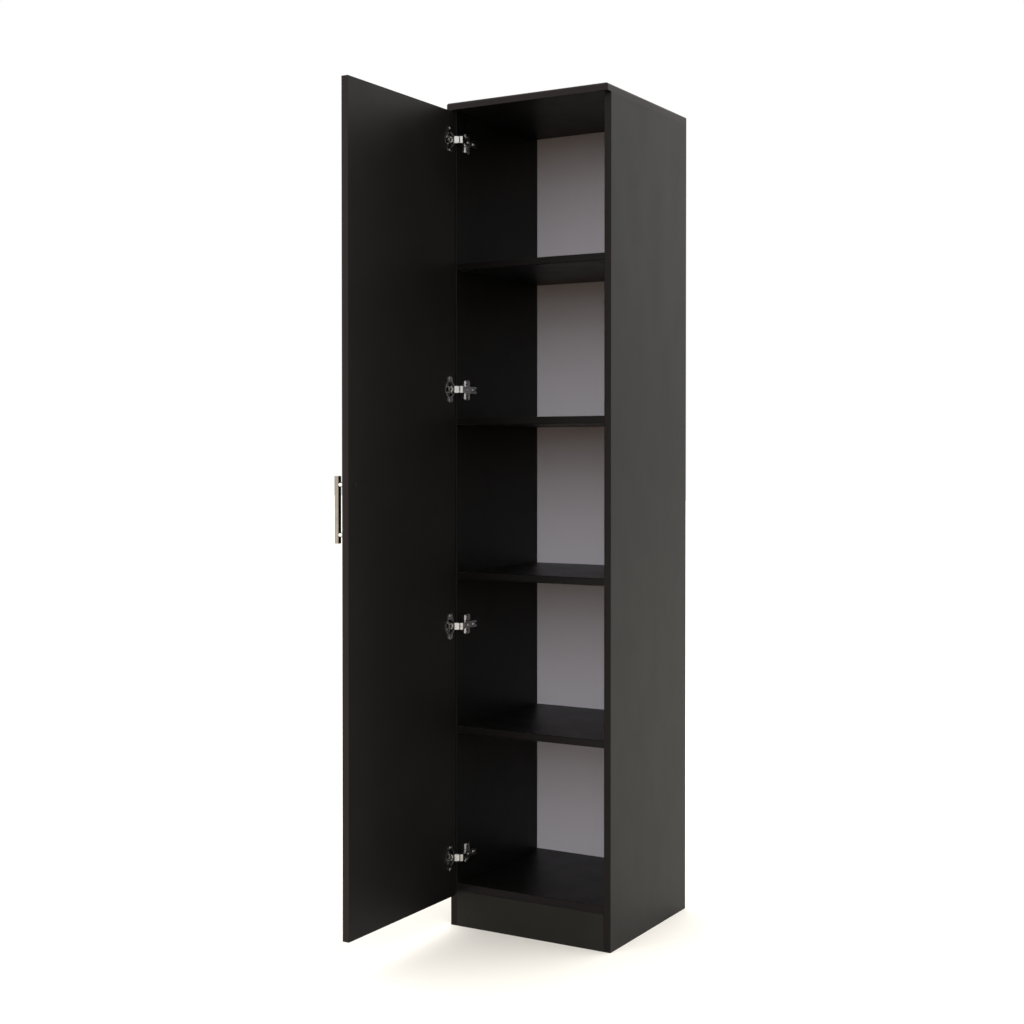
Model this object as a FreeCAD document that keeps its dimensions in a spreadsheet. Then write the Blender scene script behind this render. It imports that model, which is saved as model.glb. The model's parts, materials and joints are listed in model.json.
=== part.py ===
"""Tall one-door pantry cabinet: coated board carcass, four fixed shelves, thin back, door on cup hinges.

Frame: millimetres, +Z up, +Y from the front to the back. The origin is on the floor, at mid-width, in the
plane of the carcass's front edges. The door is modelled standing open at 90 degrees, hinged on the left.
"""

import FreeCAD
import Part

import math
import os
import re

from FreeCAD import Placement, Rotation, Vector

DIMENSIONS = {
    # carcass
    "cabinet_width": 400,
    "cabinet_height": 1830,
    "side_depth": 382,
    "board": 16,
    "top_overhang": 18,
    "plinth_height": 80,
    "back_sheet": 3,
    "back_front_face": 363,
    "groove_depth": 6,
    "groove_play": 0.3,
    "end_clear_height": 336,
    "shelf_nose_radius": 2,
    "board_edge_radius": 1,
    "top_edge_radius": 5,
    # door, open at 90 degrees
    "door_width": 396,
    "door_bottom": 70,
    "door_top_gap": 3,
    "door_front_gap": 8,
    # handle
    "handle_centres": 102,
    "bar_length": 138,
    "bar_radius": 7,
    "bar_standoff": 28.5,
    "bar_edge_distance": 25,
    "post_radius": 5,
    "handle_screw_radius": 2,
    # cup hinge
    "cup_radius": 17.5,
    "cup_depth": 12,
    "cup_wall": 0.9,
    "cup_inset": 20.5,
    "flange_width": 20,
    "flange_height": 57,
    "flange_thick": 1.2,
    "flange_corner_radius": 6,
    "cup_screw_spacing": 48,
    "arm_width": 14.6,
    "arm_sheet": 1.2,
    "arm_reach": 62,
    "arm_pin_radius": 0.9,
    "cup_pin_radius": 0.75,
    "pin_play": 0.05,
    "link_sheet": 1.6,
    "link_flare": 7.4,
    "short_link_width": 7.8,
    # each link: how deep its cup pin lies in from the door's hinge edge and from its inner face, and how far
    # its arm pin lies from the pole of the door's turn
    "short_pin_inset": 7.2,
    "short_pin_sink": 2,
    "short_pin_reach": 15.75,
    "long_pin_inset": 10.65,
    "long_pin_sink": 2.59,
    "long_pin_reach": 25.61,
    # hinge mounting plate
    "wing_thick": 2.2,
    "wing_width": 25,
    "wing_height": 44,
    "wing_corner_radius": 5,
    "ridge_length": 12,
    "ridge_run": 3.5,
    "ridge_rise": 2.2,
    "plate_setback": 39.5,
    "plate_screw_spacing": 32,
    # board fittings
    "cam_radius": 7.5,
    "cam_depth": 12.5,
    "cam_inset": 24,
    "bolt_radius": 3,
    "bolt_bite": 11,
    "dowel_radius": 4,
    "dowel_bite": 10,
    "dowel_length": 30,
    "fitting_play": 0.1,
    "cap_thick": 0.8,
    # heights of the four hinges
    "hinge_height_1": 1748,
    "hinge_height_2": 1197,
    "hinge_height_3": 672,
    "hinge_height_4": 157,
}


def pin_places():
    """Places in plan of the hinge's pins, with the door open, worked out from its open and closed places.

    The door turns 90 degrees about one pole between the two. An arm pin on the bisector of its cup pin's two
    places as seen from the pole keeps its link equally long in both.
    """
    d = DIMENSIONS
    inner_x = d["board"] - d["cabinet_width"] / 2
    closed_edge_x = -d["door_width"] / 2
    closed_gap = d["top_overhang"] - d["board"]
    pole = Vector(
        inner_x + closed_gap + closed_edge_x - d["door_front_gap"],
        closed_edge_x - d["door_front_gap"] - inner_x - closed_gap,
    ) * 0.5
    places = {}
    for link in ("short", "long"):
        inset, sink, reach = (d[f"{link}_pin_{word}"] for word in ("inset", "sink", "reach"))
        seen = Vector(closed_edge_x + inset, -closed_gap - sink) - pole
        bisector = math.atan2(seen.y, seen.x) - math.pi / 4
        places[f"{link}_arm_pin"] = pole + Vector(math.cos(bisector), math.sin(bisector)) * reach
        places[f"{link}_cup_pin"] = Vector(inner_x - sink, -d["door_front_gap"] - inset)
    places["short_bend"] = places["short_arm_pin"] + Vector(-1.95, -5.85)
    places["long_bend"] = places["long_arm_pin"] + Vector(-10.17, -6.67)
    return places


PLACES = pin_places()
for place, point in PLACES.items():
    DIMENSIONS[f"{place}_x"] = round(point.x, 4)
    DIMENSIONS[f"{place}_y"] = round(point.y, 4)

doc = FreeCAD.newDocument("pantry_cabinet")
sheet = doc.addObject("Spreadsheet::Sheet", "sizes")
for row, (word, value) in enumerate(DIMENSIONS.items(), start=1):
    sheet.set(f"A{row}", word)
    sheet.set(f"B{row}", str(value))
    sheet.setAlias(f"B{row}", word)
doc.recompute()

X, Y, Z = (1, 0, 0), (0, 1, 0), (0, 0, 1)
nodes = []


def get(word):
    """A dimension's number, read from its cell."""
    return float(sheet.get(word))


def bind(thing, **expressions):
    """Binds properties to expressions in the sheet's words; x, y and z stand for the placement's own."""

    def cell(match):
        word = match[0]
        return f"sizes.{word}" if word in DIMENSIONS else word

    for name, text in expressions.items():
        target = f"Placement.Base.{name}" if name in "xyz" else name
        thing.setExpression(target, re.sub(r"[a-z]+(?:_[a-z0-9]+)*", cell, str(text)))
    return thing


def moved(point, direction, distance):
    """The point, as three expressions, moved by an expression's length along a direction."""
    return tuple(f"{p} + {d} * ({distance})" if d else p for p, d in zip(point, direction))


def opposite(direction):
    return tuple(-part for part in direction)


def box(name, corner, sides):
    """A block from its lowest corner and its three sides."""
    block = doc.addObject("Part::Box", name)
    length, width, height = sides
    return bind(block, x=corner[0], y=corner[1], z=corner[2], Length=length, Width=width, Height=height)


def rod(name, start, direction, radius, length):
    """A cylinder that starts at a point and runs along a direction."""
    cylinder = doc.addObject("Part::Cylinder", name)
    cylinder.Placement = Placement(Vector(), Rotation(Vector(0, 0, 1), Vector(*direction)))
    return bind(cylinder, x=start[0], y=start[1], z=start[2], Radius=radius, Height=length)


def joined(name, pieces):
    """Pieces fused into one solid."""
    union = doc.addObject("Part::MultiFuse", name)
    union.Shapes = pieces
    return union


def group(name, pieces):
    """Separate solids held together as one object."""
    bundle = doc.addObject("Part::Compound", name)
    bundle.Links = pieces
    return bundle


def cut(name, base, tools):
    """The base with every tool's volume taken away."""
    result = doc.addObject("Part::Cut", name)
    result.Base = base
    result.Tool = group(f"{name}_tools", tools)
    return result


def plate(name, outline, low, thick):
    """A flat piece with an outline in plan."""
    edge = doc.addObject("Part::Polygon", f"{name}_outline")
    edge.Nodes = outline
    edge.Close = True
    slab = doc.addObject("Part::Extrusion", name)
    slab.Base = edge
    slab.DirMode = "Custom"
    slab.Dir = Vector(0, 0, 1)
    slab.Solid = True
    return bind(slab, z=low, LengthFwd=thick)


def straight_edges(thing, direction, **at):
    """Numbers of the straight edges along a direction that lie at the stated x, y or z."""
    doc.recompute()
    found = []
    for number, edge in enumerate(thing.Shape.Edges, start=1):
        ends = [vertex.Point for vertex in edge.Vertexes]
        run = ends[-1] - ends[0]
        if run.Length < 1e-6 or abs(run.dot(Vector(*direction))) < 0.999 * run.Length:
            continue
        if all(abs(getattr(point, axis) - place) < 1e-6 for point in ends for axis, place in at.items()):
            found.append(number)
    return found


def rounded(name, base, radius, edges):
    """The base with the numbered edges rounded."""
    fillet = doc.addObject("Part::Fillet", name)
    fillet.Base = base
    fillet.Edges = [(number, get(radius), get(radius)) for number in edges]
    return fillet


def keep(label, thing):
    """Makes an object one of the cabinet's sub-parts, under its own label."""
    thing.Label = label
    nodes.append(thing)
    return thing


# ---------------------------------------------------------------- levels and faces shared by the boards

INNER_X = "(cabinet_width / 2 - board)"
INNER_WIDTH = "(cabinet_width - 2 * board)"
SIDE_HEIGHT = "(cabinet_height - board)"
BOTTOM_TOP = "(plinth_height + board)"
SHELF_PITCH = f"(({SIDE_HEIGHT} - {BOTTOM_TOP} - 2 * end_clear_height - board) / 3)"
SHELF_UNDERSIDES = {
    f"shelf_{number}": f"({BOTTOM_TOP} + end_clear_height + {SHELF_PITCH} * {4 - number})"
    for number in range(1, 5)
}
SIDES = {"left_side_panel": -1, "right_side_panel": 1}
CAM_ROWS = ("50", "310")
DOWEL_ROWS = ("95", "265")

bores = {label: [] for label in (*SIDES, "top_panel", "bottom_panel", "plinth_board", *SHELF_UNDERSIDES)}
cams, caps, bolts, dowels = [], [], [], []


# ---------------------------------------------------------------- cam fittings and dowels between boards


def add_cam(holder, receiver, start, inward, face):
    """A cam in the holder board, under a push-on cap, draws on a bolt that bites into the receiver.

    start lies on the joint, on the bolt's axis; inward points into the holder, face to the cam's open side.
    """
    tag = f"fitting_{len(cams) + 1}"
    centre = moved(start, inward, "cam_inset")
    mouth = moved(centre, face, "board / 2")
    down, outward = opposite(face), opposite(inward)

    drum_start, passage_start = moved(mouth, down, "fitting_play"), moved(centre, inward, "4.5")
    drum = rod(f"{tag}_drum", drum_start, down, "cam_radius", "cam_depth - fitting_play")
    passage = rod(f"{tag}_passage", passage_start, outward, "bolt_radius + 0.8", "cam_radius + 5")
    driver = rod(f"{tag}_driver", mouth, down, "2.4", "2.2")
    cams.append(cut(f"{tag}_cam", drum, [passage, driver]))
    caps.append(rod(f"{tag}_cap", mouth, face, "cam_radius + 1", "cap_thick"))

    thread = rod(f"{tag}_thread", start, outward, "bolt_radius", "bolt_bite")
    collar = rod(f"{tag}_collar", start, inward, "bolt_radius", "2")
    shank = rod(f"{tag}_shank", start, inward, "bolt_radius - 0.7", "cam_inset")
    head = rod(f"{tag}_head", moved(centre, inward, "-0.5"), inward, "bolt_radius + 0.4", "3")
    bolts.append(joined(f"{tag}_bolt", [thread, collar, shank, head]))

    bores[holder].append(rod(f"{tag}_cam_bore", mouth, down, "cam_radius + fitting_play", "cam_depth + 0.5"))
    bores[holder].append(rod(f"{tag}_shank_bore", start, inward, "bolt_radius + 0.8", "cam_inset"))
    bores[receiver].append(
        rod(f"{tag}_thread_bore", start, outward, "bolt_radius + fitting_play", "bolt_bite + 0.5")
    )


def add_dowel(holder, receiver, start, inward):
    """A wooden dowel across a joint, glued in a bore of each board."""
    tag = f"dowel_{len(dowels) + 1}"
    outward = opposite(inward)
    dowels.append(rod(tag, moved(start, outward, "dowel_bite"), inward, "dowel_radius", "dowel_length"))
    radius = "dowel_radius + fitting_play"
    bores[receiver].append(rod(f"{tag}_short_bore", start, outward, radius, "dowel_bite + 0.5"))
    bores[holder].append(rod(f"{tag}_long_bore", start, inward, radius, "dowel_length - dowel_bite + 0.5"))


for side_label, side in SIDES.items():
    inward = (-side, 0, 0)
    joint_x = f"{side} * {INNER_X}"
    for board_label, underside in {"bottom_panel": "plinth_height", **SHELF_UNDERSIDES}.items():
        middle = f"({underside} + board / 2)"
        for depth in CAM_ROWS:
            add_cam(board_label, side_label, (joint_x, depth, middle), inward, opposite(Z))
        for depth in DOWEL_ROWS:
            add_dowel(board_label, side_label, (joint_x, depth, middle), inward)

    panel_middle = f"{side} * (cabinet_width / 2 - board / 2)"
    for depth in CAM_ROWS:
        add_cam(side_label, "top_panel", (panel_middle, depth, SIDE_HEIGHT), opposite(Z), inward)
    for depth in DOWEL_ROWS:
        add_dowel(side_label, "top_panel", (panel_middle, depth, SIDE_HEIGHT), opposite(Z))

    add_cam("plinth_board", side_label, (joint_x, "board / 2", "plinth_height * 0.65"), inward, Y)
    add_dowel("plinth_board", side_label, (joint_x, "board / 2", "plinth_height * 0.3"), inward)

keep("cam_locks", group("cam_group", cams))
keep("cam_caps", group("cap_group", caps))
keep("cam_bolts", group("bolt_group", bolts))
keep("wood_dowels", group("dowel_group", dowels))


# ---------------------------------------------------------------- carcass boards


def board(label, corner, sides, radius=None, direction=X, also=(), **at):
    """A board with its bores; its edges along a direction, at a stated place, are rounded when asked.

    also lists more edges to round, each as a direction and a place.
    """
    blank = box(f"{label}_blank", corner, sides)
    if radius:
        edges = straight_edges(blank, direction, **at)
        for other_direction, place in also:
            edges += straight_edges(blank, other_direction, **place)
        blank = rounded(f"{label}_rounded", blank, radius, edges)
    return keep(label, cut(f"{label}_board", blank, bores[label]))


GROOVE_FRONT = "back_front_face - groove_play"
GROOVE_WIDTH = "back_sheet + 2 * groove_play"
for label, side in SIDES.items():
    outer_x = f"{side} * cabinet_width / 2 - {(1 + side) / 2} * board"
    groove_x = f"{side} * ({INNER_X} + groove_depth / 2) - groove_depth / 2"
    bores[label].append(
        box(
            f"{label}_groove",
            (groove_x, GROOVE_FRONT, "plinth_height - groove_play"),
            ("groove_depth", GROOVE_WIDTH, "cabinet_height"),
        )
    )

bores["top_panel"].append(
    box(
        "top_panel_groove",
        (f"-{INNER_X} - groove_depth", GROOVE_FRONT, SIDE_HEIGHT),
        (f"{INNER_WIDTH} + 2 * groove_depth", GROOVE_WIDTH, "groove_depth"),
    )
)

HINGE_LEVELS = [f"hinge_height_{number}" for number in range(1, 5)]
PLATE_SCREW_ROWS = ("plate_screw_spacing / 2", "-plate_screw_spacing / 2")
CUP_SCREW_ROWS = ("cup_screw_spacing / 2", "-cup_screw_spacing / 2")
plate_screws, clamp_screws, adjust_screws, cup_screws = [], [], [], []
arm_pins, cup_pins = [], []
bores["door_panel"] = []


# ---------------------------------------------------------------- cup hinges


def pierced(name, base, pins, level, half_height):
    """The base with a running hole for every pin."""
    holes = [
        rod(
            f"{name}_{pin}_hole",
            (f"{pin}_x", f"{pin}_y", f"{level} - ({half_height})"),
            Z,
            f"{'arm' if 'arm' in pin else 'cup'}_pin_radius + pin_play",
            f"2 * ({half_height})",
        )
        for pin in pins
    ]
    return cut(name, base, holes)


def strap(name, start, finish, half_width, low, thick, aside=0):
    """A flat bar in plan from one place to another, moved aside to its left by a distance."""
    way = finish - start
    turn = math.degrees(math.atan2(way.y, way.x))
    left = Vector(-way.y, way.x) * (1 / way.Length)
    corner = start + left * (aside - half_width)
    bar = doc.addObject("Part::Box", name)
    bar.Placement = Placement(Vector(), Rotation(Vector(0, 0, 1), turn))
    return bind(bar, x=corner.x, y=corner.y, z=low, Length=way.Length, Width=2 * half_width, Height=thick)


def short_link(tag, level):
    """One solid link with an eye at each end, bent to clear the cup's rim."""
    low = f"{level} - short_link_width / 2"
    pieces = [
        rod(f"{tag}_{place}_round", (f"{place}_x", f"{place}_y", low), Z, radius, "short_link_width")
        for place, radius in (("short_arm_pin", "2.2"), ("short_bend", "1"), ("short_cup_pin", "2"))
    ]
    pieces += [
        strap(f"{tag}_to_{finish}", PLACES[start], PLACES[finish], 1, low, "short_link_width")
        for start, finish in (("short_arm_pin", "short_bend"), ("short_bend", "short_cup_pin"))
    ]
    return pierced(tag, joined(f"{tag}_blank", pieces), ("short_arm_pin", "short_cup_pin"), level, "5")


def long_link(tag, level):
    """Two bowed cheeks outside the short link, joined by a flared web along their outer side.

    Each cheek ends in a fork open to one side, so that its cup pin can slide a little across the link. That
    takes up the small difference between this link's even turn and the door's true path.
    """
    arm, bend, cup = (PLACES[place] for place in ("long_arm_pin", "long_bend", "long_cup_pin"))
    along = (cup - arm) * (1 / (cup - arm).Length)
    across = Vector(-along.y, along.x)
    centre = cup - along * 0.1
    mouth, fork_start, fork_root = (centre + across * distance for distance in (-2.5, -0.3, 1.5))
    cheeks, slots = [], []
    for side, low in (("upper", f"{level} + 4.2"), ("lower", f"{level} - 4.2 - link_sheet")):
        cheeks += [
            rod(f"{tag}_{side}_eye", ("long_arm_pin_x", "long_arm_pin_y", low), Z, "2.1", "link_sheet"),
            rod(f"{tag}_{side}_bow", ("long_bend_x", "long_bend_y", low), Z, "1.4", "link_sheet"),
            rod(f"{tag}_{side}_tip", (fork_root.x, fork_root.y, low), Z, "1.65", "link_sheet"),
            strap(f"{tag}_{side}_fork", fork_start, fork_root, 1.65, low, "link_sheet"),
            strap(f"{tag}_{side}_rear", arm, bend, 1.4, low, "link_sheet"),
            strap(f"{tag}_{side}_front", bend, centre, 1.4, low, "link_sheet"),
        ]
        slots += [
            rod(f"{tag}_{side}_root", (fork_root.x, fork_root.y, low), Z, "1.06", "link_sheet"),
            strap(f"{tag}_{side}_gap", mouth, fork_root, 1.06, low, "link_sheet"),
        ]
    neck, shoulder = (arm + (bend - arm) * (distance / (bend - arm).Length) for distance in (2, 3.2))
    flare, flared = f"{level} - link_flare", "2 * link_flare"
    webs = [
        strap(f"{tag}_neck_web", neck, bend, 0.6, f"{level} - 4.2 - link_sheet", "8.4 + 2 * link_sheet", 0.8),
        strap(f"{tag}_rear_web", shoulder, bend, 0.6, flare, flared, 0.8),
        strap(f"{tag}_front_web", bend, bend + (centre - bend) * 0.25, 0.6, flare, flared, 0.8),
    ]
    blank = cut(f"{tag}_slotted", joined(f"{tag}_blank", cheeks + webs), slots)
    return pierced(tag, blank, ("long_arm_pin",), level, "7")


ARM_FACE = get("board") - get("cabinet_width") / 2
NOSE_SLOPE = math.radians(-35)


def arm(tag, level):
    """A bent channel with both arm pins between its cheeks, a sloped nose and a slot open behind."""
    short_pin, long_pin, reach = PLACES["short_arm_pin"], PLACES["long_arm_pin"], get("arm_reach")
    sheet_thick = Vector(get("arm_sheet"), 0)
    under, back, front = ARM_FACE + 2.2, ARM_FACE + 13.5, ARM_FACE + 20
    outward = Vector(math.cos(NOSE_SLOPE), math.sin(NOSE_SLOPE))
    along = Vector(-outward.y, outward.x)
    lip, brow = (long_pin + outward * 3.25 + along * distance for distance in (-0.5, 5))
    ridge = [lip, brow, Vector(front, 3), Vector(back, 14), Vector(back, reach)]
    outline = [
        *ridge,
        Vector(under, reach),
        Vector(under, short_pin.y),
        short_pin + Vector(1, -2),
        long_pin + Vector(-1.5, 0.5),
    ]
    cheeks = []
    lows = {"upper": f"{level} + arm_width / 2 - arm_sheet", "lower": f"{level} - arm_width / 2"}
    for side, low in lows.items():
        cheeks.append(plate(f"{tag}_{side}_cheek", outline, low, "arm_sheet"))
        for pin in ("short_arm_pin", "long_arm_pin"):
            radius = "2.1" if pin == "long_arm_pin" else "2.2"
            cheeks.append(rod(f"{tag}_{side}_{pin}", (f"{pin}_x", f"{pin}_y", low), Z, radius, "arm_sheet"))
    inner_ridge = [lip - outward, brow - outward, *(point - sheet_thick for point in ridge[2:])]
    web = plate(f"{tag}_web", ridge + inner_ridge[::-1], f"{level} - arm_width / 2", "arm_width")
    slot = box(f"{tag}_slot", (f"{under}", "47.3", f"{level} - 2.7"), ("20", "20", "5.4"))
    grub_hole = rod(f"{tag}_grub_hole", (f"{under}", "27", level), X, "3.1", "20")
    blank = cut(f"{tag}_slotted", joined(f"{tag}_blank", cheeks + [web]), [slot, grub_hole])
    return pierced(tag, blank, ("short_arm_pin", "long_arm_pin"), level, "arm_width")


def wing_ridge(name, low):
    """A ridge pressed up along the front of a wing, with a sloped front and a steep back."""
    front = get("plate_setback") - get("wing_width") / 2 + 1
    face = ARM_FACE + get("wing_thick")
    crest = Vector(face + get("ridge_rise"), front + get("ridge_run"))
    outline = [
        Vector(face - 1, front),
        Vector(face, front),
        crest,
        crest + Vector(0, 0.5),
        Vector(face, crest.y + 1.2),
        Vector(face - 1, crest.y + 1.2),
    ]
    return plate(name, outline, low, "ridge_length")


def mounting_plate(tag, level):
    """A rail that the arm straddles, on two ridged wings screwed to the side panel."""
    rail = box(f"{tag}_rail", (f"{ARM_FACE}", "8", f"{level} - 5.6"), ("8", "52", "11.2"))
    wing_y = "(plate_setback - wing_width / 2)"
    wings = box(f"{tag}_wings", (f"{ARM_FACE}", wing_y, f"{level} - wing_height / 2"),
                ("wing_thick", "wing_width", "wing_height"))
    wings = rounded(f"{tag}_wings_rounded", wings, "wing_corner_radius", straight_edges(wings, X))
    ridges = [
        wing_ridge(f"{tag}_upper_ridge", f"{level} + 8"),
        wing_ridge(f"{tag}_lower_ridge", f"{level} - 8 - ridge_length"),
    ]
    holes = [rod(f"{tag}_clamp_hole", (f"{ARM_FACE + 1}", "50", level), X, "2.6", "10")]
    for number, row in enumerate(PLATE_SCREW_ROWS):
        middle = f"{level} + {row}"
        holes.append(box(f"{tag}_slot_{number}", (f"{ARM_FACE}", "plate_setback - 2.7", f"{middle} - 3"),
                         ("10", "5.4", "6")))
        for end in (-1, 1):
            place = (f"{ARM_FACE}", "plate_setback", f"{middle} + {end} * 3")
            holes.append(rod(f"{tag}_slot_{number}_{end}", place, X, "2.7", "10"))
        seat = (f"{ARM_FACE} + wing_thick", "plate_setback", middle)
        plate_screws.append(screw(f"{tag}_screw_{number}", seat, opposite(X), 2.5, 12, 4, 2))
        bores["left_side_panel"].append(
            rod(f"{tag}_bore_{number}", (f"{ARM_FACE}", "plate_setback", middle), opposite(X), "2.6", "10.5")
        )
    return cut(tag, joined(f"{tag}_blank", [rail, wings, *ridges]), holes)


def screw(name, seat, direction, shank_radius, shank_length, head_radius, head_height):
    """A screw with a flat head; it points along a direction, and its head's underside is at the seat."""
    shank = rod(f"{name}_shank", seat, direction, shank_radius, shank_length)
    head = rod(f"{name}_head", seat, opposite(direction), head_radius, head_height)
    return joined(name, [shank, head])


def cup(tag, level):
    """A cup sunk in the door, with a screwed flange, a rim and two lugs that hold the cup pins."""
    centre_y = "-door_front_gap - cup_inset"
    flange = box(
        f"{tag}_flange",
        (f"{ARM_FACE}", f"{centre_y} - flange_width / 2", f"{level} - flange_height / 2"),
        ("flange_thick", "flange_width", "flange_height"),
    )
    flange = rounded(f"{tag}_flange_rounded", flange, "flange_corner_radius", straight_edges(flange, X))
    rim = rod(f"{tag}_rim", (f"{ARM_FACE}", centre_y, level), X, "cup_radius + 1.5", "flange_thick")
    outside = rod(f"{tag}_outside", (f"{ARM_FACE}", centre_y, level), opposite(X), "cup_radius", "cup_depth")
    inside = rod(
        f"{tag}_inside",
        (f"{ARM_FACE} + 5", centre_y, level),
        opposite(X),
        "cup_radius - cup_wall",
        "cup_depth - cup_wall + 5",
    )
    holes = [
        rod(f"{tag}_hole_{number}", (f"{ARM_FACE} - 1", centre_y, f"{level} + {row}"), X, "1.8", "5")
        for number, row in enumerate(CUP_SCREW_ROWS)
    ]
    notch_corner = (f"{ARM_FACE} - 1.3", "-door_front_gap - 5.8", f"{level} - 4.2")
    notch = box(f"{tag}_notch", notch_corner, ("6", "5.8", "8.4"))
    lugs = [
        box(f"{tag}_lug_{side}", (f"{ARM_FACE} - 11.4", "-door_front_gap - 12.9", f"{level} + {low}"),
            ("10.8", "7.7", "1.4"))
        for side, low in (("upper", 6.3), ("lower", -7.7))
    ]
    shell = cut(f"{tag}_shell", joined(f"{tag}_blank", [flange, rim, outside]), [inside, notch, *holes])
    for number, row in enumerate(CUP_SCREW_ROWS):
        seat = (f"{ARM_FACE} + flange_thick", centre_y, f"{level} + {row}")
        cup_screws.append(screw(f"{tag}_screw_{number}", seat, opposite(X), 1.7, 10, 3.5, 1.4))
        mouth = (f"{ARM_FACE}", centre_y, f"{level} + {row}")
        bores["door_panel"].append(rod(f"{tag}_bore_{number}", mouth, opposite(X), "1.8", "9.5"))
    cup_mouth = (f"{ARM_FACE}", centre_y, level)
    bores["door_panel"].append(
        rod(f"{tag}_bore", cup_mouth, opposite(X), "cup_radius + 0.1", "cup_depth + 0.2")
    )
    lugged = joined(f"{tag}_lugged", [shell, *lugs])
    return pierced(tag, lugged, ("short_cup_pin", "long_cup_pin"), level, "9")


for number, level in enumerate(HINGE_LEVELS, start=1):
    keep(f"short_link_{number}", short_link(f"short_link_part_{number}", level))
    keep(f"long_link_{number}", long_link(f"long_link_part_{number}", level))
    keep(f"hinge_arm_{number}", arm(f"arm_part_{number}", level))
    keep(f"mounting_plate_{number}", mounting_plate(f"plate_part_{number}", level))
    keep(f"hinge_cup_{number}", cup(f"cup_part_{number}", level))

    clamp_seat = (f"{ARM_FACE} + 13.5", "50", level)
    clamp_screws.append(screw(f"clamp_screw_{number}", clamp_seat, opposite(X), 2.5, 12, 4, 2.5))
    adjust_screws.append(rod(f"adjust_screw_{number}", (f"{ARM_FACE} + 8", "27", level), X, 3, 8))
    for pin in ("short_arm_pin", "long_arm_pin"):
        start = (f"{pin}_x", f"{pin}_y", f"{level} - arm_width / 2")
        arm_pins.append(rod(f"{pin}_{number}", start, Z, "arm_pin_radius", "arm_width"))
    start = ("short_cup_pin_x", "short_cup_pin_y", f"{level} - 7.7")
    cup_pins.append(rod(f"short_cup_pin_{number}", start, Z, "cup_pin_radius", "15.4"))
    for side, low in (("upper", 3.95), ("lower", -7.7)):
        start = ("long_cup_pin_x", "long_cup_pin_y", f"{level} + {low}")
        cup_pins.append(rod(f"long_cup_pin_{side}_{number}", start, Z, "cup_pin_radius", "3.75"))

keep("plate_screws", group("plate_screw_group", plate_screws))
keep("arm_clamp_screws", group("clamp_screw_group", clamp_screws))
keep("arm_adjust_screws", group("adjust_screw_group", adjust_screws))
keep("arm_pins", group("arm_pin_group", arm_pins))
keep("cup_pins", group("cup_pin_group", cup_pins))
keep("cup_screws", group("cup_screw_group", cup_screws))


# ---------------------------------------------------------------- boards, now that every bore is known

for label, side in SIDES.items():
    corner = (f"{side} * cabinet_width / 2 - {(1 + side) / 2} * board", "0", "0")
    board(label, corner, ("board", "side_depth", SIDE_HEIGHT), "board_edge_radius", Z, y=0)
board(
    "top_panel",
    ("-cabinet_width / 2", "-top_overhang", SIDE_HEIGHT),
    ("cabinet_width", "side_depth + top_overhang", "board"),
    "top_edge_radius", Z, y=-get("top_overhang"),
    also=[
        (X, {"y": -get("top_overhang"), "z": get("cabinet_height")}),
        (Y, {"z": get("cabinet_height")}),
    ],
)
board(
    "bottom_panel",
    (f"-{INNER_X}", "0", "plinth_height"),
    (INNER_WIDTH, "back_front_face", "board"),
    "board_edge_radius", X, y=0,
)
for label, underside in SHELF_UNDERSIDES.items():
    sides = (INNER_WIDTH, "back_front_face", "board")
    board(label, (f"-{INNER_X}", "0", underside), sides, "shelf_nose_radius", X, y=0)
board(
    "plinth_board",
    (f"-{INNER_X}", "0", "0"),
    (INNER_WIDTH, "board", "plinth_height"),
    "board_edge_radius", X, y=0, z=get("plinth_height"),
)
keep(
    "back_panel",
    box(
        "back_sheet_part",
        (f"-{INNER_X} - groove_depth + groove_play", "back_front_face", "plinth_height"),
        (f"{INNER_WIDTH} + 2 * (groove_depth - groove_play)", "back_sheet",
         f"{SIDE_HEIGHT} + groove_depth - groove_play - plinth_height"),
    ),
)


# ---------------------------------------------------------------- bar handle and door

DOOR_HEIGHT = "(cabinet_height - board - door_top_gap - door_bottom)"
OUTER_X = "(-cabinet_width / 2)"
BAR_X = f"({OUTER_X} - bar_standoff)"
BAR_Y = "(-door_front_gap - door_width + bar_edge_distance)"
BAR_MIDDLE = f"(door_bottom + {DOOR_HEIGHT} / 2)"

bar = rod("bar_blank", (BAR_X, BAR_Y, f"{BAR_MIDDLE} - bar_length / 2"), Z, "bar_radius", "bar_length")
doc.recompute()
rims = [n for n, edge in enumerate(bar.Shape.Edges, start=1) if edge.Closed]
keep("handle_bar", rounded("bar_part", bar, "board_edge_radius", rims))

handle_screws = []
for label, side in (("upper", 1), ("lower", -1)):
    level = f"{BAR_MIDDLE} + {side} * handle_centres / 2"
    foot = (OUTER_X, BAR_Y, level)
    post = rod(f"post_{label}_blank", foot, opposite(X), "post_radius", "bar_standoff")
    saddle = rod(f"post_{label}_saddle", (BAR_X, BAR_Y, f"{level} - 10"), Z, "bar_radius", "20")
    thread = rod(f"post_{label}_thread", foot, opposite(X), "handle_screw_radius + 0.1", "12")
    keep(f"handle_post_{label}", cut(f"post_{label}_part", post, [saddle, thread]))
    seat = (f"{ARM_FACE}", BAR_Y, level)
    handle_screws.append(screw(f"handle_screw_{label}", seat, opposite(X), "handle_screw_radius", 26, 4, 2))
    bores["door_panel"].append(
        rod(f"handle_bore_{label}", seat, opposite(X), "handle_screw_radius + 0.2", "board")
    )
keep("handle_screws", group("handle_screw_group", handle_screws))

board(
    "door_panel",
    (OUTER_X, "-door_front_gap - door_width", "door_bottom"),
    ("board", "door_width", DOOR_HEIGHT),
    "board_edge_radius", Z,
)


# ---------------------------------------------------------------- checks and export

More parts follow.
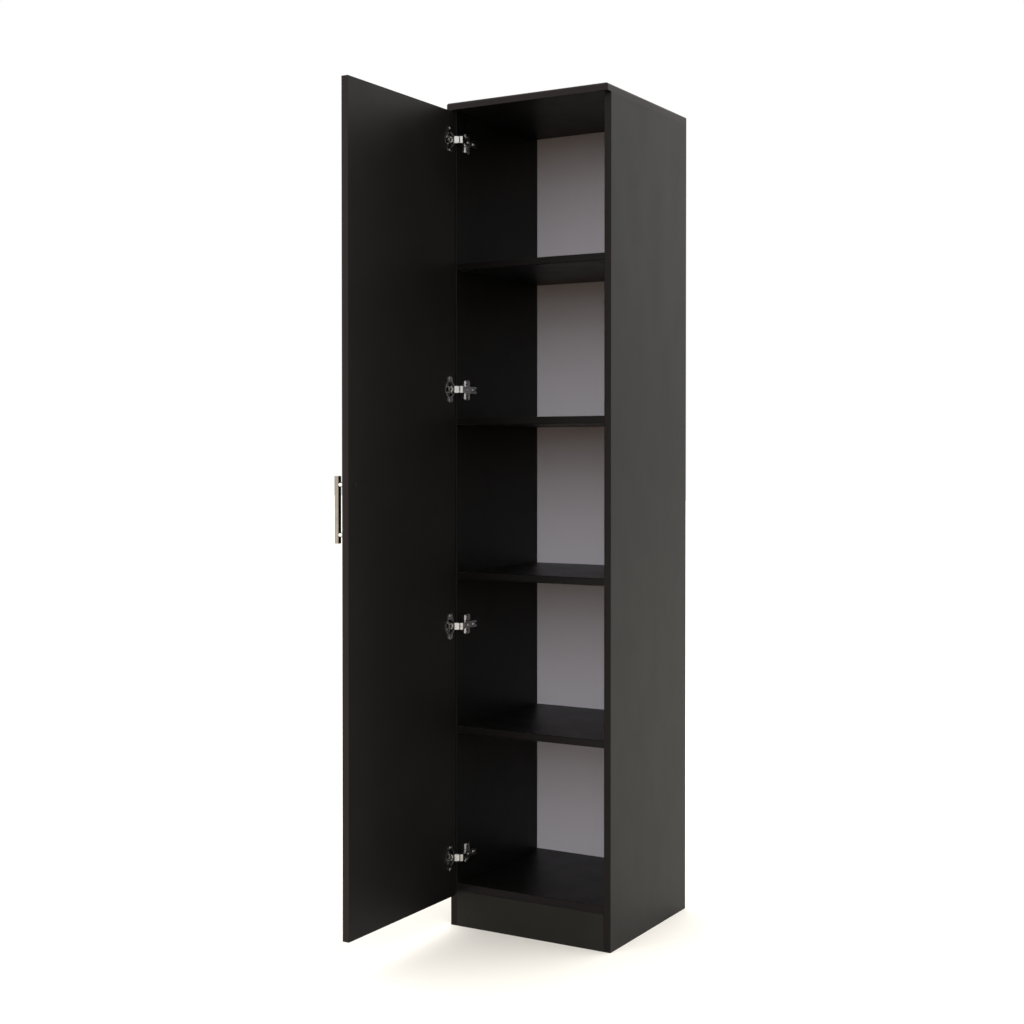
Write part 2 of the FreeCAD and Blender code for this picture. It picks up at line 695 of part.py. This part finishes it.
doc.recompute()
broken = [item.Label for item in doc.Objects if {"Invalid", "Error"} & set(item.State)]
broken += [node.Label for node in nodes if node.Shape.isNull() or not node.Shape.isValid()]
if broken:
    raise RuntimeError(f"faulty objects: {sorted(set(broken))}")

os.makedirs("parts", exist_ok=True)
for node in nodes:
    node.Shape.exportStep(f"parts/{node.Label}.step")
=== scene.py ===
"""Looks of the pantry cabinet: materials, fittings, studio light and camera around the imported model."""

import json
import math

import bmesh
import bpy
from mathutils import Matrix, Vector


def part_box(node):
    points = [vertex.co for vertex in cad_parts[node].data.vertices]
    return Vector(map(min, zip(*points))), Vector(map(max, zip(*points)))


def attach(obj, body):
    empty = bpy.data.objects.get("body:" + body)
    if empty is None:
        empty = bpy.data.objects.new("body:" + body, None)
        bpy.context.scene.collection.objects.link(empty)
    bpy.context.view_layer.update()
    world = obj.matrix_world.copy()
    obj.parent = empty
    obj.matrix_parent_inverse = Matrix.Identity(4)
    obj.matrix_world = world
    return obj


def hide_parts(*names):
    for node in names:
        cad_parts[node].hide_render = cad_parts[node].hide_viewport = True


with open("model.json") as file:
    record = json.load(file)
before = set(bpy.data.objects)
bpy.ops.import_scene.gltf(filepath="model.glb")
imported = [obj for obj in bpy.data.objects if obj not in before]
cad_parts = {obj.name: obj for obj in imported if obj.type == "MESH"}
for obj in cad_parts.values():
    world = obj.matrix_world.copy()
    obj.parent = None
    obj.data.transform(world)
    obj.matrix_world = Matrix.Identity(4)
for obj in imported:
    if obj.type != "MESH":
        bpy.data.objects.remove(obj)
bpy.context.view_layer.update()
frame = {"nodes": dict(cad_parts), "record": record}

NODES = frame["nodes"]
MM = 0.001

BOARDS = {
    # board: its thickness axis, and the factors that make its faces and its edge bands lighter or darker.
    # Both factors are painted light and shade, tuned board by board to the brightness in one picture, and
    # the real boards are probably all alike.
    "left_side_panel": (0, 0.7, 0.8),
    "right_side_panel": (0, 1.0, 1.0),
    "door_panel": (0, 1.6, 2.6),
    "top_panel": (2, 0.8, 2.0),
    "bottom_panel": (2, 0.7, 0.8),
    "shelf_1": (2, 0.5, 0.35),
    "shelf_2": (2, 0.5, 0.35),
    "shelf_3": (2, 0.6, 0.5),
    "shelf_4": (2, 0.6, 0.7),
    "plinth_board": (1, 3.6, 1.0),
}


# ---------------------------------------------------------------- node helpers


class Graph:
    """A material's node tree, with short calls for its usual nodes."""

    def __init__(self, name):
        self.material = bpy.data.materials.new(name)
        self.material.use_nodes = True
        self.tree = self.material.node_tree
        self.shader = self.tree.nodes["Principled BSDF"]
        self.coords = self.tree.nodes.new("ShaderNodeTexCoord")

    def node(self, kind, **settings):
        """A new node of a kind, with its own settings."""
        made = self.tree.nodes.new(kind)
        for key, value in settings.items():
            setattr(made, key, value)
        return made

    def plug(self, source, socket):
        """Feeds a socket from another node, or sets it to a value."""
        if isinstance(source, bpy.types.NodeSocket):
            self.tree.links.new(source, socket)
        else:
            socket.default_value = source

    def math(self, operation, *values):
        made = self.node("ShaderNodeMath", operation=operation)
        for socket, value in zip(made.inputs, values):
            self.plug(value, socket)
        return made.outputs[0]

    def stretch(self, scale):
        """Object coordinates, scaled along each axis."""
        made = self.node("ShaderNodeMapping")
        self.plug(self.coords.outputs["Object"], made.inputs["Vector"])
        made.inputs["Scale"].default_value = scale
        return made.outputs["Vector"]

    def noise(self, vector, scale, detail=2.0, roughness=0.5):
        made = self.node("ShaderNodeTexNoise")
        self.plug(vector, made.inputs["Vector"])
        made.inputs["Scale"].default_value = scale
        made.inputs["Detail"].default_value = detail
        made.inputs["Roughness"].default_value = roughness
        return made.outputs["Fac"]

    def ramp(self, value, low, high, from_value=0.0, to_value=1.0):
        """The value's range low to high spread smoothly over from_value to to_value."""
        made = self.node("ShaderNodeMapRange", interpolation_type="SMOOTHSTEP")
        for socket, number in zip(made.inputs, (value, low, high, from_value, to_value)):
            self.plug(number, socket)
        return made.outputs["Result"]

    def mix(self, factor, first, second):
        made = self.node("ShaderNodeMix", data_type="RGBA")
        self.plug(factor, made.inputs["Factor"])
        self.plug(first, made.inputs["A"])
        self.plug(second, made.inputs["B"])
        return made.outputs["Result"]

    def bump(self, height, distance, strength=1.0, under=None):
        """A normal raised by a height, over another normal if there is one under it."""
        made = self.node("ShaderNodeBump")
        made.inputs["Strength"].default_value = strength
        made.inputs["Distance"].default_value = distance
        self.plug(height, made.inputs["Height"])
        if under is not None:
            self.plug(under, made.inputs["Normal"])
        return made.outputs["Normal"]

    def set(self, **sockets):
        """Feeds the shader's own sockets and gives the finished material."""
        for name, value in sockets.items():
            self.plug(value, self.shader.inputs[name.replace("_", " ")])
        return self.material


def color(red, green, blue):
    return (red, green, blue, 1.0)


# ---------------------------------------------------------------- materials


# real coatings and plastics are near 1.5; these are lower, to match how dull the black parts look
BOARD_IOR = 1.21
PLASTIC_IOR = 1.25


def tone(factor, red, green, blue):
    """A colour made lighter or darker by a factor."""
    return color(red * factor, green * factor, blue * factor)


def board_material(name, low, high, thin, face_painted_shading, band_painted_shading):
    """Satin black melamine with a pebbled press texture, and edge bands whose joint shows as a hairline."""
    g = Graph(f"melamine_{name}")
    point = g.node("ShaderNodeSeparateXYZ")
    g.plug(g.coords.outputs["Object"], point.inputs[0])
    normal = g.node("ShaderNodeSeparateXYZ")
    g.plug(g.coords.outputs["Normal"], normal.inputs[0])

    depths = []
    for axis in range(3):
        from_low = g.math("SUBTRACT", point.outputs[axis], low[axis])
        from_high = g.math("SUBTRACT", high[axis], point.outputs[axis])
        depths.append(g.math("MINIMUM", from_low, from_high))
    total = g.math("ADD", g.math("ADD", depths[0], depths[1]), depths[2])
    least = g.math("MINIMUM", g.math("MINIMUM", depths[0], depths[1]), depths[2])
    most = g.math("MAXIMUM", g.math("MAXIMUM", depths[0], depths[1]), depths[2])
    edge_distance = g.math("SUBTRACT", g.math("SUBTRACT", total, least), most)

    broad_face = g.ramp(g.math("ABSOLUTE", normal.outputs[thin]), 0.85, 0.97)
    off_seam = g.math("ABSOLUTE", g.math("SUBTRACT", edge_distance, 1.3 * MM))
    seam = g.math("MULTIPLY", g.ramp(off_seam, 0.08 * MM, 0.26 * MM, 1.0, 0.0), broad_face)
    arris = g.ramp(edge_distance, 0.1 * MM, 0.9 * MM, 1.0, 0.0)

    pebble = g.noise(g.coords.outputs["Object"], 1500.0, 2.0, 0.55)
    orange_peel = g.noise(g.coords.outputs["Object"], 260.0, 2.0)
    cloud = g.noise(g.coords.outputs["Object"], 5.0, 3.0)
    handling = g.noise(g.stretch((1.0, 1.0, 0.5)), 16.0, 4.0, 0.6)

    patch = g.ramp(cloud, 0.3, 0.7)
    # the per-board factors on the face and band colours below are painted light and shade, lighter or
    # darker copies of one black
    face = g.mix(patch, tone(face_painted_shading, 0.0036, 0.0034, 0.0030), tone(face_painted_shading, 0.0044, 0.0042, 0.0037))
    band = g.mix(patch, tone(band_painted_shading, 0.0064, 0.0046, 0.0046), tone(band_painted_shading, 0.0074, 0.0054, 0.0053))
    body = g.mix(broad_face, band, face)
    # edges lightened towards a brown-black: partly rubbed wear, partly a painted highlight along each arris
    body = g.mix(g.math("MULTIPLY", arris, 0.35), body, color(0.022, 0.019, 0.018))
    body = g.mix(g.math("MULTIPLY", seam, 0.7), body, color(0.0015, 0.0013, 0.0012))

    roughness = g.math("ADD", g.ramp(handling, 0.3, 0.75, 0.37, 0.41), g.math("MULTIPLY", pebble, 0.05))
    height = g.math("ADD", g.math("MULTIPLY", pebble, 0.5), g.math("MULTIPLY", orange_peel, 0.5))
    grain = g.bump(height, 0.03 * MM, 0.4)
    surface = g.bump(g.math("MULTIPLY", seam, -1.0), 0.12 * MM, 0.8, grain)
    g.shader.inputs["IOR"].default_value = BOARD_IOR
    return g.set(Base_Color=body, Roughness=roughness, Normal=surface)


def back_material():
    """White lacquered hardboard: a faint roller texture in front, brown fibres behind."""
    g = Graph("white_hardboard")
    normal = g.node("ShaderNodeSeparateXYZ")
    g.plug(g.coords.outputs["Normal"], normal.inputs[0])
    rear = g.ramp(normal.outputs[1], 0.4, 0.6)
    roller = g.noise(g.stretch((1.0, 1.0, 0.4)), 420.0, 3.0)
    cloud = g.noise(g.coords.outputs["Object"], 4.0, 3.0)
    fibres = g.noise(g.stretch((1.0, 1.0, 5.0)), 160.0, 6.0, 0.7)
    white = g.mix(cloud, color(0.80, 0.765, 0.845), color(0.84, 0.805, 0.885))
    brown = g.mix(fibres, color(0.20, 0.125, 0.07), color(0.36, 0.25, 0.155))
    roughness = g.math("ADD", g.math("MULTIPLY", rear, 0.35), g.ramp(roller, 0.3, 0.7, 0.42, 0.5))
    grain = g.bump(roller, 0.03 * MM, 0.4)
    return g.set(Base_Color=g.mix(rear, white, brown), Roughness=roughness, Normal=grain)


def metal_material(name, bright, dull, smooth, rough, brushed=None):
    """Plated metal with faint stains and scratches; brushed stretches its scratches along each axis."""
    g = Graph(name)
    stain = g.noise(g.coords.outputs["Object"], 90.0, 4.0, 0.6)
    lines = g.noise(g.stretch(brushed or (1.0, 1.0, 1.0)), 900.0, 3.0, 0.6)
    base = g.mix(g.ramp(stain, 0.35, 0.75), bright, dull)
    roughness = g.math("ADD", g.ramp(stain, 0.3, 0.7, smooth, rough), g.math("MULTIPLY", lines, 0.06))
    g.shader.inputs["Metallic"].default_value = 1.0
    return g.set(Base_Color=base, Roughness=roughness, Normal=g.bump(lines, 0.01 * MM, 0.5))


def plastic_material(name, gloss):
    """Black moulded plastic or lacquer with a fine texture."""
    g = Graph(name)
    texture = g.noise(g.coords.outputs["Object"], 2200.0, 2.0)
    patch = g.noise(g.coords.outputs["Object"], 60.0, 3.0)
    base = g.mix(patch, color(0.0028, 0.0028, 0.0027), color(0.0040, 0.0039, 0.0037))
    g.shader.inputs["IOR"].default_value = PLASTIC_IOR
    roughness = g.ramp(patch, 0.3, 0.7, gloss, gloss + 0.08)
    return g.set(Base_Color=base, Roughness=roughness, Normal=g.bump(texture, 0.02 * MM, 0.5))


def beech_material():
    """Turned beech with fine grain."""
    g = Graph("beech")
    grain = g.noise(g.stretch((0.12, 1.0, 1.0)), 700.0, 5.0, 0.65)
    base = g.mix(grain, color(0.42, 0.26, 0.13), color(0.72, 0.52, 0.32))
    roughness = g.ramp(grain, 0.3, 0.7, 0.6, 0.75)
    return g.set(Base_Color=base, Roughness=roughness, Normal=g.bump(grain, 0.05 * MM))


NICKEL = metal_material("nickel_plate", color(0.39, 0.385, 0.38), color(0.31, 0.305, 0.30), 0.11, 0.17)
STEEL = metal_material("plated_steel", color(0.40, 0.395, 0.385), color(0.31, 0.305, 0.30), 0.14, 0.26)
# the handle posts are the handle's satin nickel, given a brighter base here as a painted highlight standing
# in for a lamp's reflection on them
POST_HIGHLIGHT = metal_material("post_painted_highlight", color(0.72, 0.70, 0.66), color(0.64, 0.62, 0.58), 0.08, 0.14)
ZINC = metal_material("cast_zinc", color(0.50, 0.50, 0.50), color(0.38, 0.38, 0.39), 0.42, 0.55)
SATIN = metal_material(
    "satin_nickel", color(0.31, 0.285, 0.25), color(0.26, 0.24, 0.21), 0.13, 0.18, (0.06, 0.06, 3.0)
)
BY_SLOT = {
    "white_back": back_material(),
    "hinge_nickel": NICKEL,
    "link_steel": STEEL,
    "screw_steel": NICKEL,
    "zinc_alloy": ZINC,
    "black_plastic": plastic_material("black_cap", 0.42),
    "black_screw": plastic_material("black_lacquer", 0.42),
    "satin_nickel": SATIN,
    "beech": beech_material(),
}
SLOT_OF = {entry["node"]: entry["material_slot"] for entry in frame["record"]["subparts"]}


def paint(thing, material):
    thing.data.materials.clear()
    thing.data.materials.append(material)


for name, node in NODES.items():
    if name in BOARDS:
        paint(node, board_material(name, *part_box(name), *BOARDS[name]))
    elif name.startswith("handle_post"):
        paint(node, POST_HIGHLIGHT)
    else:
        paint(node, BY_SLOT[SLOT_OF[name]])


# ---------------------------------------------------------------- screws with threads and driver crosses

# vertices nearer than this to a screw's first vertex belong to that screw
SCREW_SPREAD = 30 * MM
THREAD_PITCH = 1.1 * MM
POINT_LENGTH = 1.2 * MM
OUTWARD = Matrix.Rotation(math.pi / 2, 4, "Y")


def screw_boxes(name):
    """The lowest and highest corners of each of a node's screws."""
    groups = []
    for vertex in NODES[name].data.vertices:
        for group in groups:
            if (vertex.co - group[0]).length < SCREW_SPREAD:
                group.append(vertex.co)
                break
        else:
            groups.append([vertex.co])
    return [(Vector(map(min, zip(*group))), Vector(map(max, zip(*group)))) for group in groups]


def turned(profile, steps=40):
    """A solid turned about Z from (radius, height) pairs, first and last on the axis."""
    shape = bmesh.new()
    rings = []
    for radius, height in profile:
        if radius < 1e-7:
            rings.append([shape.verts.new((0.0, 0.0, height))])
            continue
        angles = [2 * math.pi * k / steps for k in range(steps)]
        places = [(radius * math.cos(angle), radius * math.sin(angle), height) for angle in angles]
        rings.append([shape.verts.new(place) for place in places])
    for lower, upper in zip(rings, rings[1:]):
        for k in range(steps):
            after = (k + 1) % steps
            if len(lower) == 1:
                shape.faces.new((lower[0], upper[after], upper[k]))
            elif len(upper) == 1:
                shape.faces.new((lower[k], lower[after], upper[0]))
            else:
                shape.faces.new((lower[k], lower[after], upper[after], upper[k]))
    bmesh.ops.recalc_face_normals(shape, faces=shape.faces)
    return shape


def driver_cross(reach, width, depth):
    """The volume of a driver's cross in a screw's head: two blades that narrow as they go down."""
    shape = bmesh.new()
    for turn in (0.3, 0.3 + math.pi / 2):
        blade = bmesh.ops.create_cube(shape, size=1.0)["verts"]
        for vertex in blade:
            is_low = vertex.co.z < 0
            vertex.co.x *= 2 * reach * (0.55 if is_low else 1.0)
            vertex.co.y *= width * (0.8 if is_low else 1.0)
            vertex.co.z = -depth if is_low else depth
        bmesh.ops.rotate(shape, verts=blade, cent=(0, 0, 0), matrix=Matrix.Rotation(turn, 3, "Z"))
    return shape


def solid_object(name, shape):
    """A new object from a shape in the making."""
    mesh = bpy.data.meshes.new(name)
    shape.to_mesh(mesh)
    shape.free()
    thing = bpy.data.objects.new(name, mesh)
    bpy.context.scene.collection.objects.link(thing)
    return thing


def carved(name, shape, cutter):
    """The shape with the cutter's volume taken out, as a finished mesh."""
    thing = solid_object(name, shape)
    tool = solid_object(f"{name}_cutter", cutter)
    cut = thing.modifiers.new("cut", "BOOLEAN")
    cut.solver = "EXACT"
    cut.use_self = True
    cut.object = tool
    bpy.context.view_layer.update()
    mesh = bpy.data.meshes.new_from_object(thing.evaluated_get(bpy.context.evaluated_depsgraph_get()))
    bpy.data.objects.remove(thing)
    bpy.data.objects.remove(tool)
    return mesh


def screw_mesh(name, radius, head, shank, length, domed):
    """A screw along Z, its domed head's top at zero, with a driver's cross in the head."""
    profile = [(0.0, 0.0)]
    for angle in (1.1, 0.75, 0.4, 0.0):
        profile.append((radius * math.cos(angle), -head * domed * (1 - math.sin(angle))))
    profile += [(radius, -head), (shank, -head)]
    for k in range(int((length - 2 * MM) / THREAD_PITCH)):
        groove = -head - 0.6 * MM - k * THREAD_PITCH
        profile += [(shank * 0.78, groove), (shank, groove - THREAD_PITCH / 2)]
    profile += [(shank * 0.75, POINT_LENGTH - head - length), (0.0, -head - length)]
    cross = driver_cross(radius * 0.58, radius * 0.24, head * 0.75)
    return carved(name, turned(profile), cross)


def screws(node, body, head, shank, length, domed=0.35):
    """Replaces a node's plain screws, whose heads face +X, with detailed ones of the same size."""
    boxes = screw_boxes(node)
    radius = (boxes[0][1].y - boxes[0][0].y) / 2
    mesh = screw_mesh(node, radius, head, shank, length, domed)
    shape = bmesh.new()
    for k, (low, high) in enumerate(boxes):
        place = Vector((high.x, (low.y + high.y) / 2, (low.z + high.z) / 2))
        spin = Matrix.Rotation(0.7 * k, 4, "Z")
        copy = mesh.copy()
        copy.transform(Matrix.Translation(place) @ OUTWARD @ spin)
        shape.from_mesh(copy)
        bpy.data.meshes.remove(copy)
    thing = solid_object(f"detailed_{node}", shape)
    for polygon in thing.data.polygons:
        polygon.use_smooth = True
    thing.data.set_sharp_from_angle(angle=math.radians(35))
    slot = SLOT_OF[node]
    paint(thing, BY_SLOT[slot])
    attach(thing, body)
    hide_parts(node)


screws("cup_screws", "door", 1.4 * MM, 1.7 * MM, 10 * MM)
screws("plate_screws", "carcass", 2 * MM, 2.5 * MM, 12 * MM)
screws("arm_clamp_screws", "carcass", 2.5 * MM, 2.5 * MM, 12 * MM, 0.2)
screws("arm_adjust_screws", "carcass", 7.5 * MM, 2.9 * MM, 0.5 * MM, 0.05)
screws("handle_screws", "door", 2 * MM, 2 * MM, 26 * MM, 0.6)


# ---------------------------------------------------------------- softened arrises of the pressed metal

PRESSED = ("hinge_arm", "hinge_cup", "mounting_plate", "long_link", "short_link")
for name, node in NODES.items():
    if name.startswith(PRESSED):
        weld = node.modifiers.new("weld", "WELD")
        weld.merge_threshold = 0.002 * MM
        soft = node.modifiers.new("soft_arris", "BEVEL")
        soft.width = 0.22 * MM
        soft.segments = 2
        soft.limit_method = "ANGLE"
        soft.angle_limit = math.radians(40)
        soft.harden_normals = True


# ---------------------------------------------------------------- floor, light and camera


SKY = color(1.74, 1.72, 1.69)
BOUNCE = color(0.24, 0.165, 0.085)


def floor():
    """A wide pale floor, hidden from diffuse rays: the studio's lower half stands in for its bounce."""
    mesh = bpy.data.meshes.new("floor")
    shape = bmesh.new()
    bmesh.ops.create_grid(shape, x_segments=1, y_segments=1, size=30.0)
    shape.to_mesh(mesh)
    shape.free()
    ground = bpy.data.objects.new("floor", mesh)
    bpy.context.scene.collection.objects.link(ground)
    g = Graph("pale_floor")
    cloud = g.noise(g.coords.outputs["Object"], 2.0, 2.0)
    pale = g.mix(cloud, color(0.93, 0.90, 0.84), color(0.95, 0.92, 0.86))
    paint(ground, g.set(Base_Color=pale, Roughness=0.9))
    ground.visible_diffuse = False


def studio():
    """Soft white light from above the horizon, a weak warm bounce from below, and a white backdrop."""
    world = bpy.data.worlds.new("studio")
    bpy.context.scene.world = world
    world.use_nodes = True
    nodes = world.node_tree.nodes
    direction = nodes.new("ShaderNodeTexCoord")
    split = nodes.new("ShaderNodeSeparateXYZ")
    rise = nodes.new("ShaderNodeMapRange")
    rise.interpolation_type = "SMOOTHSTEP"
    rise.inputs["From Min"].default_value = -0.12
    rise.inputs["From Max"].default_value = 0.10
    blend = nodes.new("ShaderNodeMix")
    blend.data_type = "RGBA"
    blend.inputs["A"].default_value = BOUNCE
    blend.inputs["B"].default_value = SKY
    backdrop = nodes.new("ShaderNodeBackground")
    backdrop.inputs["Color"].default_value = color(1.0, 1.0, 1.0)
    rays = nodes.new("ShaderNodeLightPath")
    either = nodes.new("ShaderNodeMixShader")
    light = nodes["Background"]
    for source, socket in (
        (direction.outputs["Generated"], split.inputs[0]),
        (split.outputs["Z"], rise.inputs["Value"]),
        (rise.outputs["Result"], blend.inputs["Factor"]),
        (blend.outputs["Result"], light.inputs["Color"]),
        (rays.outputs["Is Camera Ray"], either.inputs["Fac"]),
        (light.outputs["Background"], either.inputs[1]),
        (backdrop.outputs["Background"], either.inputs[2]),
        (either.outputs["Shader"], nodes["World Output"].inputs["Surface"]),
    ):
        world.node_tree.links.new(source, socket)


floor()
studio()
bpy.context.scene.view_settings.view_transform = "Standard"

camera_data = bpy.data.cameras.new("camera")
camera_data.sensor_width = 36.0
camera_data.lens = 55.054
camera_data.shift_y = -0.0336
camera_data.clip_end = 100.0
camera = bpy.data.objects.new("camera", camera_data)
bpy.context.scene.collection.objects.link(camera)
camera.location = (1.6926, -2.9402, 1.0518)
camera.rotation_euler = (math.radians(89.173), 0.0, math.radians(30.527))
bpy.context.scene.camera = camera
